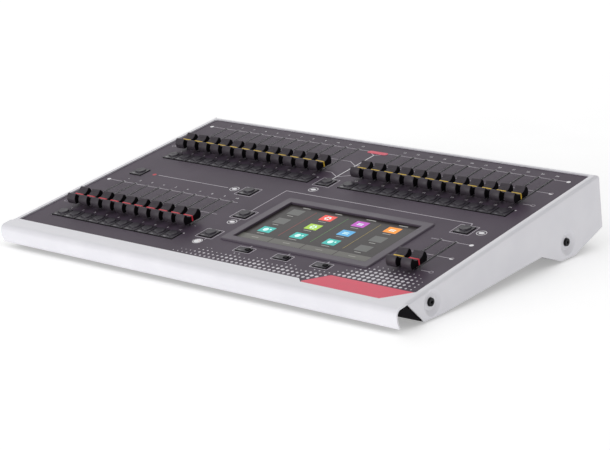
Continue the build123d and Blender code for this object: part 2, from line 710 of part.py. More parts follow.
NETWORK_CAVITY = (11.8, 7.4, 12.5)
with BuildPart() as rear_ports:
    with BuildSketch(rear_plane.offset(PAN_OUTER + 0.6)):
        with Locations((PORT_XS[0], PORT_Y)):
            Rectangle(NETWORK_W, NETWORK_H)
    extrude(amount=-20)
    with BuildSketch(rear_plane.offset(PAN_OUTER + 0.6)):
        with Locations(*[(x, PORT_Y) for x in PORT_XS[1:]]):
            Rectangle(USB_W, USB_H)
    extrude(amount=-14)
    with BuildSketch(rear_plane.offset(PAN_OUTER + 0.6)):
        with Locations((PORT_XS[0], PORT_Y + 0.6)):
            Rectangle(NETWORK_CAVITY[0], NETWORK_CAVITY[1])
        with Locations((PORT_XS[0], PORT_Y - 4.0)):
            Rectangle(5.0, 3.0)
    extrude(amount=-NETWORK_CAVITY[2], mode=Mode.SUBTRACT)
    with BuildSketch(rear_plane.offset(PAN_OUTER + 0.6)):
        with Locations(*[(x, PORT_Y) for x in PORT_XS[1:]]):
            Rectangle(12.6, 5.2)
    extrude(amount=-10, mode=Mode.SUBTRACT)
    # the contact tongue in each USB socket
    with BuildSketch(rear_plane.offset(PAN_OUTER + 0.6 - 10)):
        with Locations(*[(x, PORT_Y + 0.7) for x in PORT_XS[1:]]):
            Rectangle(11.2, 1.8)
    extrude(amount=8.6)
save(rear_ports.part, "rear_ports")

# ---------------------------------------------------------------- screws and feet

SCREW_HEAD_R = 4.0
SCREW_HEAD_H = 2.1
with BuildPart() as side_screws:
    for side in (-1, 1):
        for y, z in SIDE_SCREWS:
            seat = Plane(
                origin=(side * (CASE_W / 2 - DIMPLE_DEPTH), y, z),
                x_dir=(0, 1, 0),
                z_dir=(side, 0, 0),
            )
            with BuildSketch(seat):
                Circle(SCREW_HEAD_R)
            extrude(amount=SCREW_HEAD_H, taper=12)
            with BuildSketch(seat.offset(SCREW_HEAD_H)):
                RegularPolygon(1.6, 6)
            extrude(amount=-1.5, mode=Mode.SUBTRACT)
            with BuildSketch(seat):
                Circle(1.95)
            extrude(amount=-8)
save(side_screws.part, "side_screws")

FOOT_BOTTOM_R = 7.2
FOOT_X = 200.0
FOOT_YS = (-108.0, 100.0)
with BuildPart() as rubber_feet:
    with BuildSketch(Plane.XY):
        with Locations(*[(x, y) for x in (-FOOT_X, FOOT_X) for y in FOOT_YS]):
            Circle(FOOT_BOTTOM_R)
    extrude(amount=FOOT_DROP, taper=-15)
save(rubber_feet.part, "rubber_feet")
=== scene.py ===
import json
import math

import bmesh
import bpy
from mathutils import Matrix, Vector


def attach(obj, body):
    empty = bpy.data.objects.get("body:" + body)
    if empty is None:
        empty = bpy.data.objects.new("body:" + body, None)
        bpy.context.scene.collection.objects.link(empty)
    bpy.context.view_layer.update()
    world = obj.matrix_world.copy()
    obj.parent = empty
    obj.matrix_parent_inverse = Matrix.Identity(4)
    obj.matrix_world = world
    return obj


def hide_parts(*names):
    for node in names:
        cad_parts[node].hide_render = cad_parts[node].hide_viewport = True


# Looks of the lighting control desk. Everything on the sloping top is laid out in the
# panel frame, in millimetres: x is the row's X, s runs up the slope from the middle of
# the desk's depth, and h is the height above the printed panel.

MM = 0.001

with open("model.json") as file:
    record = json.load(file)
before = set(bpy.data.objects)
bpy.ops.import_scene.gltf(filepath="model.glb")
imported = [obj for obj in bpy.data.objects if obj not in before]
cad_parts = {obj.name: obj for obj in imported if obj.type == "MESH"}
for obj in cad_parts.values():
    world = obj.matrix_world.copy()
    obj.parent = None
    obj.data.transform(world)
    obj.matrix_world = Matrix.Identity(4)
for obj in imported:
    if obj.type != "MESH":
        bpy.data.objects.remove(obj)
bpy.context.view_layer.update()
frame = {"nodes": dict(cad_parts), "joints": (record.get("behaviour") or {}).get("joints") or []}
NODES = frame["nodes"]

# ---------------------------------------------------------------- panel frame

AXES = {joint["name"]: Vector(joint["axis"]) for joint in frame["joints"]}
UP_SLOPE = AXES["channel_fader_01_slide"].normalized()
NORMAL = -AXES["flash_keys_left_press"].normalized()
panel_height = max(v.co.dot(NORMAL) for v in NODES["control_panel"].data.vertices)
PANEL = Matrix.Translation((0, 0, panel_height / NORMAL.z)) @ Matrix(
    [[1, UP_SLOPE.x, NORMAL.x, 0], [0, UP_SLOPE.y, NORMAL.y, 0], [0, UP_SLOPE.z, NORMAL.z, 0], [0, 0, 0, 1]]
)
TO_PANEL = PANEL.inverted()
PANEL_MM = PANEL @ Matrix.Scale(MM, 4)


def solids(node):
    """Box of each separate solid of a CAD node in the panel frame, in mm, from left to right."""
    bm = bmesh.new()
    bm.from_mesh(NODES[node].data)
    bmesh.ops.remove_doubles(bm, verts=bm.verts, dist=1e-6)
    bm.verts.ensure_lookup_table()
    seen, boxes = set(), []
    for start in bm.verts:
        if start.index in seen:
            continue
        stack, members = [start], []
        seen.add(start.index)
        while stack:
            v = stack.pop()
            members.append(TO_PANEL @ v.co / MM)
            for e in v.link_edges:
                w = e.other_vert(v)
                if w.index not in seen:
                    seen.add(w.index)
                    stack.append(w)
        boxes.append([f(p[i] for p in members) for i in range(3) for f in (min, max)])
    bm.free()
    return sorted(boxes, key=lambda b: (round(b[0]), b[2]))


def middle(boxes):
    """Middle of a set of solids' boxes: x, s."""
    return (
        (min(b[0] for b in boxes) + max(b[1] for b in boxes)) / 2,
        (min(b[2] for b in boxes) + max(b[3] for b in boxes)) / 2,
    )


# ---------------------------------------------------------------- materials


def linear(*rgb):
    """Display colour, 0 to 255, as the linear colour that the shaders use."""
    return tuple((c / 255 / 12.92 if c <= 10 else ((c / 255 + 0.055) / 1.055) ** 2.4) for c in rgb)


class Shader:
    """A node material that is put together a step at a time."""

    def __init__(self, name):
        self.material = bpy.data.materials.new(name)
        self.material.use_nodes = True
        self.tree = self.material.node_tree
        self.shader = self.tree.nodes["Principled BSDF"]
        self.place = self.node("ShaderNodeTexCoord").outputs["Object"]

    def node(self, kind, **settings):
        made = self.tree.nodes.new(kind)
        for key, value in settings.items():
            setattr(made, key, value)
        return made

    def join(self, out, socket):
        self.tree.links.new(out, socket)

    def noise(self, size_mm, detail=3.0, rough=0.55, stretch=(1, 1, 1)):
        """Noise whose features are about size_mm across."""
        scale = self.node("ShaderNodeMapping")
        scale.inputs["Scale"].default_value = stretch
        self.join(self.place, scale.inputs["Vector"])
        made = self.node("ShaderNodeTexNoise")
        made.inputs["Scale"].default_value = 1 / (size_mm * MM)
        made.inputs["Detail"].default_value = detail
        made.inputs["Roughness"].default_value = rough
        self.join(scale.outputs[0], made.inputs["Vector"])
        return made.outputs["Fac"]

    def ramp(self, value, low, high):
        made = self.node("ShaderNodeValToRGB")
        for element, at, colour in zip(made.color_ramp.elements, (0.35, 0.65), (low, high)):
            element.position = at
            element.color = (*colour, 1) if len(colour) == 3 else colour
        self.join(value, made.inputs["Fac"])
        return made.outputs["Color"]

    def span(self, value, low, high, start=0.3, end=0.7):
        made = self.node("ShaderNodeMapRange")
        made.inputs["From Min"].default_value = start
        made.inputs["From Max"].default_value = end
        made.inputs["To Min"].default_value = low
        made.inputs["To Max"].default_value = high
        self.join(value, made.inputs["Value"])
        return made.outputs["Result"]

    def mix(self, factor, a, b):
        made = self.node("ShaderNodeMix", data_type="RGBA")
        for value, socket in ((factor, made.inputs[0]), (a, made.inputs[6]), (b, made.inputs[7])):
            if isinstance(value, tuple):
                socket.default_value = (*value, 1)
            elif isinstance(value, (int, float)):
                socket.default_value = value
            else:
                self.join(value, socket)
        return made.outputs[2]

    def facing(self, direction, start, end):
        """1 where the surface faces a direction of the row frame, 0 where it doesn't."""
        geometry = self.node("ShaderNodeNewGeometry")
        dot = self.node("ShaderNodeVectorMath", operation="DOT_PRODUCT")
        dot.inputs[1].default_value = direction
        self.join(geometry.outputs["True Normal"], dot.inputs[0])
        return self.span(dot.outputs["Value"], 0.0, 1.0, start, end)

    def bump(self, *heights):
        """Bumps, each a (noise, depth in mm)."""
        last = None
        for value, depth in heights:
            made = self.node("ShaderNodeBump")
            made.inputs["Distance"].default_value = depth * MM
            made.inputs["Strength"].default_value = 1.0
            self.join(value, made.inputs["Height"])
            if last is not None:
                self.join(last, made.inputs["Normal"])
            last = made.outputs["Normal"]
        self.join(last, self.shader.inputs["Normal"])

    def set(self, **values):
        for key, value in values.items():
            socket = self.shader.inputs[key.replace("_", " ")]
            if isinstance(value, tuple):
                socket.default_value = (*value, 1)
            elif isinstance(value, (int, float)):
                socket.default_value = value
            else:
                self.join(value, socket)
        return self.material


def powder_coat(name, dark, light, rough, grain_mm=0.55, depth=0.012, coat=0.0, specular=0.5):
    """Sprayed paint: fine orange peel, cloudy tone, slightly uneven gloss."""
    s = Shader(name)
    peel = s.noise(grain_mm, 2.0)
    cloud = s.noise(38.0, 2.0)
    speck = s.noise(0.22, 1.0)
    base = s.mix(0.35, s.ramp(cloud, dark, light), s.ramp(speck, dark, light))
    s.bump((peel, depth), (speck, depth * 0.4))
    return s.set(
        Base_Color=base,
        Roughness=s.span(cloud, rough - 0.05, rough + 0.05),
        Specular_IOR_Level=specular,
        Coat_Weight=coat,
        Coat_Roughness=0.25,
    )


def moulded(name, dark, light, rough, grain_mm=0.35, depth=0.01, specular=0.45):
    """Moulded plastic: fine spark-eroded grain, and a little polish from fingers."""
    s = Shader(name)
    grain = s.noise(grain_mm, 3.0)
    rubbed = s.noise(7.0, 2.0)
    s.bump((grain, depth))
    return s.set(
        Base_Color=s.mix(0.5, s.ramp(grain, dark, light), s.ramp(rubbed, dark, light)),
        Roughness=s.span(rubbed, rough - 0.08, rough + 0.06),
        Specular_IOR_Level=specular,
    )


def metal(name, dark, light, rough, streak=(1, 1, 1)):
    """Bare or plated metal, brushed along one direction where streak says so."""
    s = Shader(name)
    brushed = s.noise(0.6, 3.0, 0.6, streak)
    cloud = s.noise(9.0, 2.0)
    s.bump((brushed, 0.006))
    return s.set(
        Base_Color=s.mix(0.5, s.ramp(brushed, dark, light), s.ramp(cloud, dark, light)),
        Metallic=1.0,
        Roughness=s.span(brushed, rough - 0.07, rough + 0.09),
        Specular_IOR_Level=0.5,
    )


def ink(name, dark, light):
    """Screen-printed ink: a slightly uneven film over the overlay's fine texture."""
    s = Shader(name)
    film = s.noise(0.5, 2.0)
    wear = s.noise(5.0, 2.0)
    colour = s.mix(0.5, s.ramp(film, dark, light), s.ramp(wear, dark, light))
    s.bump((film, 0.006))
    return s.set(Base_Color=colour, Roughness=s.span(wear, 0.42, 0.55), Specular_IOR_Level=0.3)


def overlay_film(name, dark, light, edge):
    """Textured polycarbonate film; its cut edges are painted pale, a painted highlight along them."""
    s = Shader(name)
    grain = s.noise(0.32, 3.0)
    cloud = s.noise(60.0, 2.0)
    face = s.mix(0.6, s.ramp(grain, dark, light), s.ramp(cloud, dark, light))
    s.bump((grain, 0.010))
    return s.set(
        # painted highlight: every face that doesn't face up, the film's cut edges, takes the pale edge colour
        Base_Color=s.mix(s.facing(NORMAL, 0.55, 0.8), edge, face),
        Roughness=s.span(grain, 0.46, 0.58),
        Specular_IOR_Level=0.35,
    )


def picture(name, dark, light, glow):
    """A patch of the lit display, seen through satin glass."""
    s = Shader(name)
    dots = s.noise(0.3, 1.0)
    spread = s.noise(30.0, 2.0)
    colour = s.mix(0.5, s.ramp(dots, dark, light), s.ramp(spread, dark, light))
    s.bump((dots, 0.002))
    return s.set(
        Base_Color=colour,
        Roughness=s.span(dots, 0.30, 0.38),
        Specular_IOR_Level=0.20,
        Emission_Color=colour,
        Emission_Strength=glow,
    )


def circuit_board():
    s = Shader("solder_mask")
    fine = s.noise(1.2, 2.0)
    tracks = s.node("ShaderNodeTexVoronoi", feature="DISTANCE_TO_EDGE")
    tracks.inputs["Scale"].default_value = 1 / (9 * MM)
    s.join(s.place, tracks.inputs["Vector"])
    lines = s.span(tracks.outputs["Distance"], 1.0, 0.0, 0.0, 0.06)
    mask = s.ramp(fine, (0.010, 0.075, 0.035), (0.016, 0.11, 0.05))
    s.bump((lines, 0.03))
    return s.set(Base_Color=s.mix(lines, mask, (0.03, 0.19, 0.09)), Roughness=s.span(fine, 0.25, 0.4))


def rubber():
    s = Shader("foot_rubber")
    grain = s.noise(0.4, 4.0)
    dust = s.noise(3.0, 3.0)
    s.bump((grain, 0.05))
    return s.set(
        Base_Color=s.mix(s.span(dust, 0.0, 0.5), (0.018, 0.018, 0.019), (0.07, 0.068, 0.065)),
        Roughness=s.span(grain, 0.75, 0.92),
    )


SILVER = powder_coat("silver_paint", linear(224, 223, 229), linear(231, 230, 235), 0.36, coat=0.25)
BLACK_PAINT = powder_coat(
    "black_paint", (0.0020, 0.0014, 0.0026), (0.0040, 0.0030, 0.0048), 0.70, 0.5, 0.02, specular=0.09
)
# the last colour is the painted highlight on the film's cut edges
OVERLAY = overlay_film("printed_overlay", linear(66, 55, 69), linear(78, 66, 81), linear(222, 218, 224))
RED = ink("red_overlay", linear(226, 92, 112), linear(234, 100, 120))
BEZEL = powder_coat("bezel_grey", linear(76, 67, 79), linear(86, 77, 89), 0.42, 0.4, 0.01)
GLASS = picture("screen_glass", linear(46, 41, 41), linear(53, 48, 48), 0.09)
DISPLAY_FRAME = moulded("display_black", (0.010, 0.010, 0.011), (0.02, 0.02, 0.021), 0.4)
SCREW = metal("black_screw", (0.012, 0.012, 0.013), (0.03, 0.03, 0.032), 0.38)
RUBBER = rubber()
TRACK = metal("track_steel", (0.02, 0.02, 0.022), (0.06, 0.06, 0.062), 0.5, (1, 12, 12))
BOARD = circuit_board()
SUPPLY = metal("supply_case", (0.42, 0.42, 0.43), (0.6, 0.6, 0.61), 0.4, (1, 14, 14))
SWITCH = moulded("switch_black", (0.010, 0.010, 0.011), (0.02, 0.02, 0.021), 0.5)
CONNECTOR = moulded("connector_black", (0.010, 0.010, 0.010), (0.018, 0.018, 0.019), 0.42)
SHELL = metal("connector_shell", (0.30, 0.30, 0.31), (0.52, 0.52, 0.54), 0.3, (1, 1, 9))
ROCKER = moulded("rocker_black", (0.008, 0.008, 0.009), (0.014, 0.014, 0.015), 0.25, 0.8, 0.003)
CAP = moulded("fader_cap", linear(54, 48, 55), linear(66, 59, 67), 0.50, 0.3, 0.012)
# the cap's own plastic made near-black: painted shade for its flat sides, as seen between neighbouring caps
CAP_SIDE_SHADE = moulded("fader_cap_side_shade", linear(9, 7, 11), linear(14, 12, 16), 0.7, 0.3, 0.012, 0.1)
KEY_TOP = moulded("key_plastic", linear(43, 38, 47), linear(51, 46, 55), 0.44, 0.3, 0.010, 0.45)
# near-black copy of the key plastic: painted shade on the keys' walls, stems and soft-key blocks, and on the
# dimple dots
KEY_PAINTED_SHADE = moulded("key_painted_shade", linear(10, 9, 12), linear(17, 15, 19), 0.6, 0.3, 0.008, 0.2)
KEY_WINDOW = moulded("key_window", linear(118, 115, 120), linear(132, 129, 134), 0.2, 0.5, 0.003)
LEVER = metal("lever_steel", (0.08, 0.08, 0.085), (0.16, 0.16, 0.17), 0.4, (8, 8, 1))
WHITE_INK = ink("white_ink", linear(196, 190, 198), linear(208, 203, 210))
BRIGHT_INK = ink("bright_ink", linear(240, 238, 242), linear(248, 247, 249))
FAINT_INK = ink("faint_ink", linear(84, 78, 84), linear(94, 88, 94))
# dark strips of painted shade beside the fader slots
SLOT_SHADE_INK = ink("slot_shade_ink", linear(20, 17, 22), linear(26, 23, 28))
DOT_INK = ink("dot_ink", linear(214, 210, 217), linear(226, 223, 229))
RED_DOT = ink("red_dot", linear(200, 60, 70), linear(212, 72, 80))
YELLOW_LINE = ink("yellow_line", linear(236, 196, 62), linear(246, 206, 74))
RED_LINE = ink("red_line", linear(228, 50, 68), linear(240, 60, 78))

NODE_LOOKS = {
    "top_cover": SILVER,
    "base_pan": BLACK_PAINT,
    "control_panel": OVERLAY,
    "red_inlays": RED,
    "screen_bezel": BEZEL,
    "touch_glass": GLASS,
    "display_module": DISPLAY_FRAME,
    "side_screws": SCREW,
    "rubber_feet": RUBBER,
    "fader_tracks": TRACK,
    "upper_board": BOARD,
    "lower_board": BOARD,
    "processor_board": BOARD,
    "power_supply": SUPPLY,
    "key_switches": SWITCH,
    "mains_inlet": CONNECTOR,
    "data_outlets": SHELL,
    "rear_ports": SHELL,
    "power_rocker": ROCKER,
}
# the bend or moulding radius that softens each node's edges, in mm
EDGE_RADIUS = {
    "top_cover": 0.45,
    "base_pan": 0.3,
    "screen_bezel": 0.55,
    "mains_inlet": 0.4,
    "data_outlets": 0.3,
    "power_rocker": 0.5,
    "rubber_feet": 0.5,
    "side_screws": 0.25,
    "power_supply": 0.5,
}
for name, look in NODE_LOOKS.items():
    node = NODES[name]
    node.data.materials.clear()
    node.data.materials.append(look)
    if name in EDGE_RADIUS:
        weld = node.modifiers.new("weld", "WELD")
        weld.merge_threshold = 1e-6
        flat = node.modifiers.new("flat", "DECIMATE")
        flat.decimate_type = "DISSOLVE"
        flat.angle_limit = math.radians(0.4)
        soften = node.modifiers.new("soften", "BEVEL")
        soften.width = EDGE_RADIUS[name] * MM
        soften.segments = 3
        soften.limit_method = "ANGLE"
        soften.angle_limit = math.radians(38)
        soften.harden_normals = True
        node.modifiers.new("normals", "WEIGHTED_NORMAL").keep_sharp = True

# ---------------------------------------------------------------- building pieces


def finish_piece(name, bm, materials, body, transform=None, smooth_angle=30):
    """Turns a bmesh into a piece that rides on a body."""
    bmesh.ops.recalc_face_normals(bm, faces=bm.faces)
    mesh = bpy.data.meshes.new(name)
    bm.to_mesh(mesh)
    bm.free()
    for m in materials:
        mesh.materials.append(m)
    if transform is not None:
        mesh.transform(transform)
    if smooth_angle:
        mesh.shade_smooth()
        mesh.set_sharp_from_angle(angle=math.radians(smooth_angle))
    piece = bpy.data.objects.new(name, mesh)
    bpy.context.scene.collection.objects.link(piece)
    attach(piece, body)
    return piece


def prism(bm, outline, low, high, material=0):
    """A closed plate with that outline (x, s), between two heights."""
    bottom = [bm.verts.new((x, s, low)) for x, s in outline]
    top = [bm.verts.new((x, s, high)) for x, s in outline]
    faces = [bm.faces.new(bottom[::-1]), bm.faces.new(top)]
    for i in range(len(outline)):
        j = (i + 1) % len(outline)
        faces.append(bm.faces.new((bottom[i], bottom[j], top[j], top[i])))
    for f in faces:
        f.material_index = material
    return faces


def ring_of(x, s, rx, rs=None, count=24, start=0.0, sweep=360.0):
    rs = rx if rs is None else rs
    closed = sweep >= 360
    steps = count if closed else count + 1
    return [
        (
            x + rx * math.cos(math.radians(start + sweep * i / count)),
            s + rs * math.sin(math.radians(start + sweep * i / count)),
        )
        for i in range(steps)
    ]


def rounded(x, s, width, length, radius, count=4):
    """Outline of a rectangle with round corners, about x, s."""
    points = []
    for cx, cs, start in ((1, 1, 0), (-1, 1, 90), (-1, -1, 180), (1, -1, 270)):
        for i in range(count + 1):
            a = math.radians(start + 90 * i / count)
            points.append(
                (
                    x + cx * (width / 2 - radius) + radius * math.cos(a),
                    s + cs * (length / 2 - radius) + radius * math.sin(a),
                )
            )
    return points


class Print:
    """Thin printed shapes on one layer."""

    def __init__(self, low, high):
        self.bm, self.low, self.high = bmesh.new(), low, high

    def fill(self, outline):
        prism(self.bm, outline, self.low, self.high)

    def stroke(self, points, width, closed=False):
        """A mitred line of even width."""
        n = len(points)
        sides = []
        for i, (x, s) in enumerate(points):
            before = points[(i - 1) % n] if closed or i else None
            after = points[(i + 1) % n] if closed or i < n - 1 else None
            runs = []
            if before:
                runs.append(Vector((x - before[0], s - before[1])).normalized())
            if after:
                runs.append(Vector((after[0] - x, after[1] - s)).normalized())
            along = sum(runs, Vector((0, 0))).normalized()
            across = Vector((-along.y, along.x))
            reach = width / 2 / max(0.3, across.dot(Vector((-runs[0].y, runs[0].x))))
            sides.append([(x + across.x * reach * k, s + across.y * reach * k) for k in (1, -1)])
        rings = []
        for left, right in sides:
            corners = ((left, self.low), (right, self.low), (right, self.high), (left, self.high))
            rings.append([self.bm.verts.new((*p, h)) for p, h in corners])
        for i in range(n if closed else n - 1):
            a, b = rings[i], rings[(i + 1) % n]
            for k in range(4):
                self.bm.faces.new((a[k], a[(k + 1) % 4], b[(k + 1) % 4], b[k]))
        if not closed:
            self.bm.faces.new(rings[0])
            self.bm.faces.new(rings[-1][::-1])

    def write(self, text, x, s, size):
        """Plain numerals, centred on x, s."""
        curve = bpy.data.curves.new("numeral", "FONT")
        curve.body, curve.size = text, size
        curve.align_x, curve.align_y = "CENTER", "CENTER"
        curve.extrude = (self.high - self.low) / 2
        curve.resolution_u = 2
        holder = bpy.data.objects.new("numeral", curve)
        mesh = bpy.data.meshes.new_from_object(holder)
        mesh.transform(Matrix.Translation((x, s, (self.low + self.high) / 2)))
        self.bm.from_mesh(mesh)
        bpy.data.meshes.remove(mesh)
        bpy.data.objects.remove(holder)
        bpy.data.curves.remove(curve)

    def piece(self, name, material, slot):
        return finish_piece(name, self.bm, [material], "desk", PANEL_MM, 0)


# ---------------------------------------------------------------- places of the controls

upper_left = [middle(solids(f"channel_fader_{i:02d}")) for i in range(1, 13)]
upper_right = [middle(solids(f"channel_fader_{i:02d}")) for i in range(13, 25)]
playbacks = [middle(solids(f"playback_fader_{i:02d}")) for i in range(1, 11)]
masters = [middle(solids(f"master_fader_{i}")) for i in (1, 2)]
KEY_NODES = ["flash_keys_left", "flash_keys_right", "playback_keys", "function_keys", "soft_keys"]
key_places = {name: [(middle([b]), b) for b in solids(name)] for name in KEY_NODES}
keys = {name: [place for place, _ in rows] for name, rows in key_places.items()}
TRAVEL = 60.0

# ---------------------------------------------------------------- print on the panel

INK_LOW, INK_HIGH = -0.05, 0.05
white, bright, faint, shade = (Print(INK_LOW, INK_HIGH) for _ in range(4))
red_mark = Print(INK_LOW, INK_HIGH + 0.02)

LINE = 0.75                     # width of the printed lines
MARK_R = 2.1                    # the round marks at the ends of the scales
SLOT_CLEAR = 1.6                # the scale lines stop this far from a slot's middle


def scale_mark(x, s, level):
    """Round mark at the end of a scale line: full, half or empty."""
    if level == 100:
        bright.fill(ring_of(x, s, MARK_R))
    elif level == 50:
        bright.fill(ring_of(x, s, MARK_R, start=180, sweep=180))
        white.stroke(ring_of(x, s, MARK_R - 0.15, start=0, sweep=180), 0.3)
    else:
        white.stroke(ring_of(x, s, MARK_R - 0.2), 0.4, closed=True)


def bank(places, ends, marks_x, numbers, first):
    """Scale lines at 0, 50 and 100, marks, faint tenths and numerals of one bank."""
    zero = places[0][1]
    left, right = ends
    stops = [left] + [x for x, _ in places] + [right]
    for level in (0, 50, 100):
        s = zero + TRAVEL * level / 100
        # the caps rest on the zero line, so it only shows beside the bank
        for a, b in zip(stops, stops[1:]) if level else ():
            white.stroke(
                [
                    (a + (SLOT_CLEAR if a != left else 0), s),
                    (b - (SLOT_CLEAR if b != right else 0), s),
                ],
                LINE * 0.8,
            )
        if level == 0:
            for a, b in ((left, places[0][0] - 6.5), (places[-1][0] + 6.5, right)):
                if b > a:
                    white.stroke([(a, s), (b, s)], LINE * 0.8)
        if level == 100:
            # a short bold dash to the right of each slot's end
            for x, _ in places:
                bright.stroke([(x + 1.8, s), (x + 4.0, s)], 0.9)
        scale_mark(marks_x, s, level)
    for x, _ in places:
        # painted shade: a dark strip down both sides of each slot, so the slot looks as dark as its shaded
        # opening
        for side in (-1, 1):
            shade.stroke([(x + side * 1.3, zero - 1.0), (x + side * 1.3, zero + TRAVEL + 1.0)], 0.55)
    for tenth in range(1, 10):
        if tenth == 5:
            continue
        s = zero + TRAVEL * tenth / 10
        for (a, _), (b, _) in zip(places, places[1:]):
            faint.stroke([(a + 1.7, s), (b - 1.7, s)], 0.35)
    if numbers:
        for i, (x, _) in enumerate(places):
            bright.write(str(first + i), x, zero + 68.3, 3.6)


DIVIDER_X = 0.0
JOIN = 12.2                     # where a bank's scale lines bend down to the divider
JOIN_DROP = 8.2
bank(upper_left, (-219.9, -JOIN), -222.0, True, 1)
bank(upper_right, (JOIN, 217.2), 219.3, True, 13)
bank(playbacks, (-219.9, -50.0), -222.0, True, 1)
bank(masters, (175.1, 215.8), 217.9, False, 1)

upper_zero = upper_left[0][1]
for level in (0, 50, 100):
    s = upper_zero + TRAVEL * level / 100
    for side in (-1, 1):
        white.stroke([(side * JOIN, s), (DIVIDER_X, s - JOIN_DROP)], LINE)
bright.stroke([(DIVIDER_X, 55.6), (DIVIDER_X, upper_zero + TRAVEL - JOIN_DROP)], LINE * 1.3)

for name, first in (("flash_keys_left", 1), ("flash_keys_right", 13), ("playback_keys", 1)):
    for i, (x, s) in enumerate(keys[name]):
        bright.write(str(first + i), x, s + 12.5, 3.4)
    last_x, last_s = keys[name][-1]
    bright.fill(ring_of(last_x + 8.9, last_s + 7.8, 0.75, count=12))

OUTLINE_W, OUTLINE_L = 20.2, 18.9
GAP = 0.6


def outline(x, s, width=OUTLINE_W, length=OUTLINE_L):
    white.stroke(rounded(x, s, width, length, 0.8, 2), GAP, closed=True)


def round_icon(x, s, filled):
    """Ring with a plain mark inside."""
    bright.stroke(ring_of(x, s, 4.6, count=32), 0.6, closed=True)
    if filled:
        bright.fill(ring_of(x, s, 3.7))
        red_mark.fill(ring_of(x + 1.4, s + 0.6, 0.5, count=12))
    else:
        bright.fill(ring_of(x, s, 2.9, 2.2))


function = sorted(keys["function_keys"])
record_key, wide_key, help_key, lamp_key, centre_key, right_key = function
for x, s in (wide_key, help_key, lamp_key, centre_key, right_key):
    outline(x, s)
round_icon(wide_key[0] - 18.4, wide_key[1] + 0.9, False)
round_icon(lamp_key[0] + 0.7, lamp_key[1] - 17.8, False)
round_icon(centre_key[0] - 0.6, centre_key[1] - 19.0, False)
round_icon(right_key[0] + 18.4, right_key[1] - 0.3, False)
round_icon(help_key[0] + 0.5, help_key[1] - 17.6, True)
for x, s in (lamp_key, help_key):
    white.stroke([(x + 4.6, s - OUTLINE_L / 2), (x + 4.6, s - OUTLINE_L / 2 - 3.4)], GAP)

red_mark.fill(ring_of(record_key[0] + 20.3, record_key[1] + 0.2, 2.1, count=16))
# from the red mark towards the wide key, and from the lamp key round the screen to the right key
white.stroke([(-178.3, 0.2), (-85.4, 0.2)], 0.7)
SCREEN_LINE_S = 15.3
white.stroke(
    [
        (lamp_key[0] + 0.7, lamp_key[1] + OUTLINE_L / 2),
        (lamp_key[0] + 0.2, SCREEN_LINE_S),
        (191.4, SCREEN_LINE_S),
        (right_key[0], right_key[1] + OUTLINE_L / 2),
    ],
    LINE,
)
for x, s in keys["soft_keys"]:
    outline(x, s + 0.7, 19.5, 11.2)
    white.stroke([(x + 1.5, s + 6.3), (x + 1.5, s + 10.0)], LINE)

white.piece("print_white", WHITE_INK, "printed_overlay")
bright.piece("print_bright", BRIGHT_INK, "printed_overlay")
faint.piece("print_faint_scales", FAINT_INK, "printed_overlay")
shade.piece("print_slot_shade", SLOT_SHADE_INK, "printed_overlay")
red_mark.piece("print_red_marks", RED_DOT, "red_overlay")

# ---------------------------------------------------------------- halftone of dots

DOT_PITCH_X, DOT_PITCH_S = 5.425, 5.33
DOT_X0, DOT_S0 = 0.5, -136.8
DOT_MAX = 1.8


def step(low, high, value):
    t = min(1, max(0, (value - low) / (high - low)))
    return t * t * (3 - 2 * t)


def dot_top(x):
    """How far up the slope the dots reach at x: waves on the left, one large swell on the right."""
    waves = 3.0 * math.cos(2 * math.pi * (x - 61) / 31.5) * (1 - step(125, 150, x))
    left_end = 18 * (1 - step(-46, -8, x))
    swell = 28 * step(124, 176, x) - 6 * step(212, 226, x)
    return -120.5 + waves - left_end + swell


dots = Print(INK_LOW, INK_HIGH)
for column in range(-9, 42):
    for row in range(0, 10):
        x = DOT_X0 + column * DOT_PITCH_X
        s = DOT_S0 + row * DOT_PITCH_S
        depth = dot_top(x) - s
        # the masters' side of the swell fades out towards the panel's edge
        edge_fade = 1 - 0.55 * step(204, 224, x)
        r = DOT_MAX * min(1, 0.26 + depth / 19) * edge_fade
        # small where they start on the left, and in the front row
        r *= (0.62 + 0.38 * step(-20, 60, x)) * (0.85 if row == 0 else 1)
        clear_of_keys = all(abs(x - kx) > 9.8 + r or s < ks - 5.6 - r for kx, ks in keys["soft_keys"])
        on_plate = s < -123.6 and x > 123.0 + (s + 144) * 0.85 and x > 122
        behind_bezel = s > -102.4 - r and x < 163.2
        off_edge = x + r > 227.4 or (s < -122 and x > 206 + (s + 144) * 0.93 - r)
        if depth < -1.5 or r < 0.45 or not clear_of_keys or on_plate or behind_bezel or off_edge:
            continue
        dots.fill(ring_of(x, s, r, count=16))
dots.piece("print_dots", DOT_INK, "printed_overlay")

# ---------------------------------------------------------------- fader caps

CAP_HALF = 5.3                  # half the cap's width
CAP_EASE = 0.45                 # how far its ends are eased
CAP_UNDER, CAP_VALLEY, CAP_RIM, CAP_TOP = 3.8, 9.8, 13.2, 13.78
CAP_FOOT = 10.4                 # half its length at the underside
CAP_BULGE = (12.1, 8.6)         # the furthest point of its convex ends
RIM_OUT, RIM_MID, RIM_IN = 9.9, 8.8, 7.4  # the hump from the end to the dish
DISH_R = 9.75
RIB_FIRST, RIB_LAST, RIB_PITCH, RIB_DEPTH = 1.6, 6.6, 1.25, 0.26


